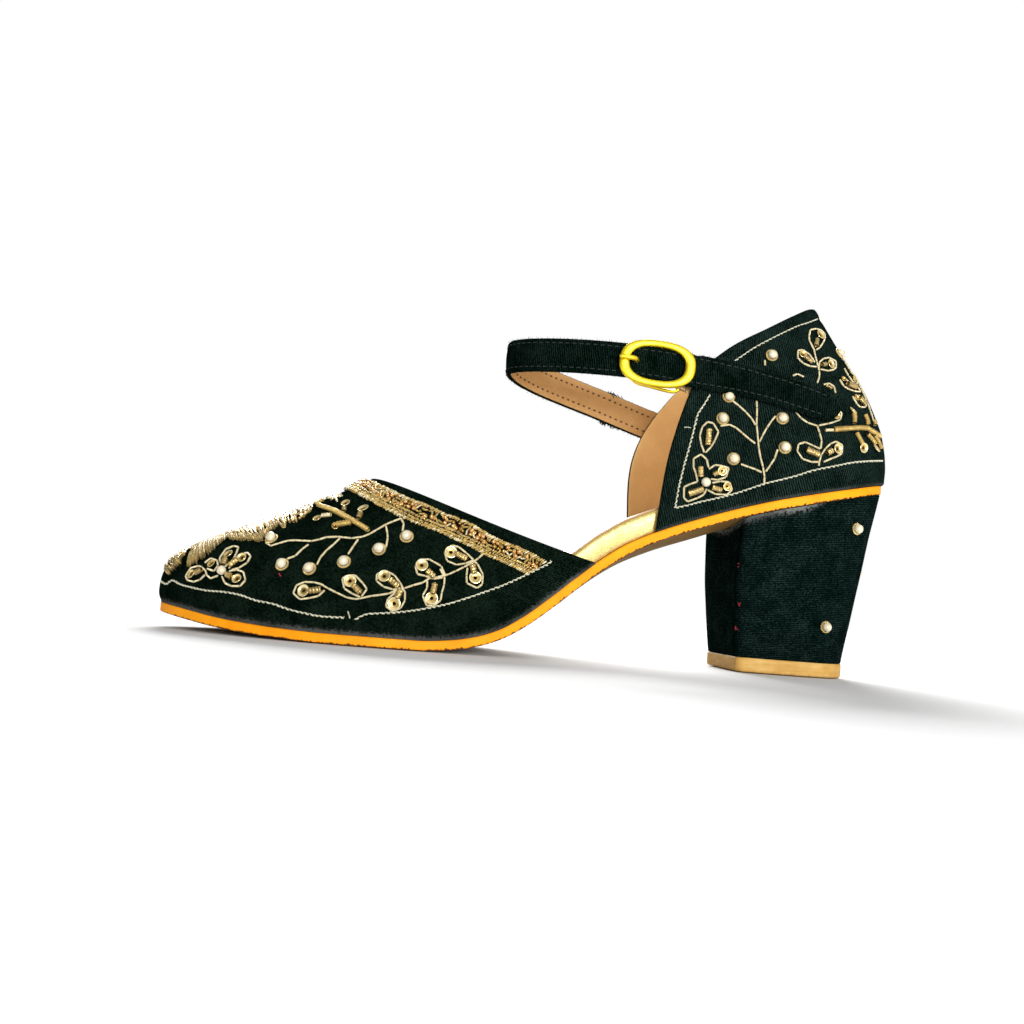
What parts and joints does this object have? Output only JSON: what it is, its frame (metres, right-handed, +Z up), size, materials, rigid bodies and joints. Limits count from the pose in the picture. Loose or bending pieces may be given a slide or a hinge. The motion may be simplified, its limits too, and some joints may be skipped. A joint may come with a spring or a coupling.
{
  "type": "block heel shoe",
  "caption": "Left block-heel shoe with closed toe and heel, open waist, buckled ankle strap and bead and cord embroidery on dark napped fabric.",
  "frame": {"origin": "on the floor, under the middle of the shoe's outline box", "axes": "-X points to the toe, +X to the heel, -Y to the outer side with the buckle, +Z up"},
  "size_m": [0.2382, 0.0782, 0.1245],
  "materials": {
    "upper_fabric": "dark green-black napped twill",
    "lining": "matt tan lining",
    "sole": "orange painted edge, tan underside",
    "insole_cover": "pale gold glitter edge, tan top",
    "top_lift": "satin, slightly worn",
    "buckle_metal": "polished yellow gold plate",
    "elastic": "woven tan tape",
    "gold_thread": "metal-wrapped thread, coil and beads",
    "pearl": "glossy pearl"
  },
  "bodies": {
    "root": {"outsole": "sole", "insole": "insole_cover", "upper_vamp": "upper_fabric", "upper_quarter": "upper_fabric", "heel_block": "upper_fabric", "heel_top_lift": "top_lift", "ankle_strap": "upper_fabric", "buckle_frame": "buckle_metal", "buckle_tongue": "buckle_metal", "elastic_loop": "elastic"}
  },
  "joints": []
}
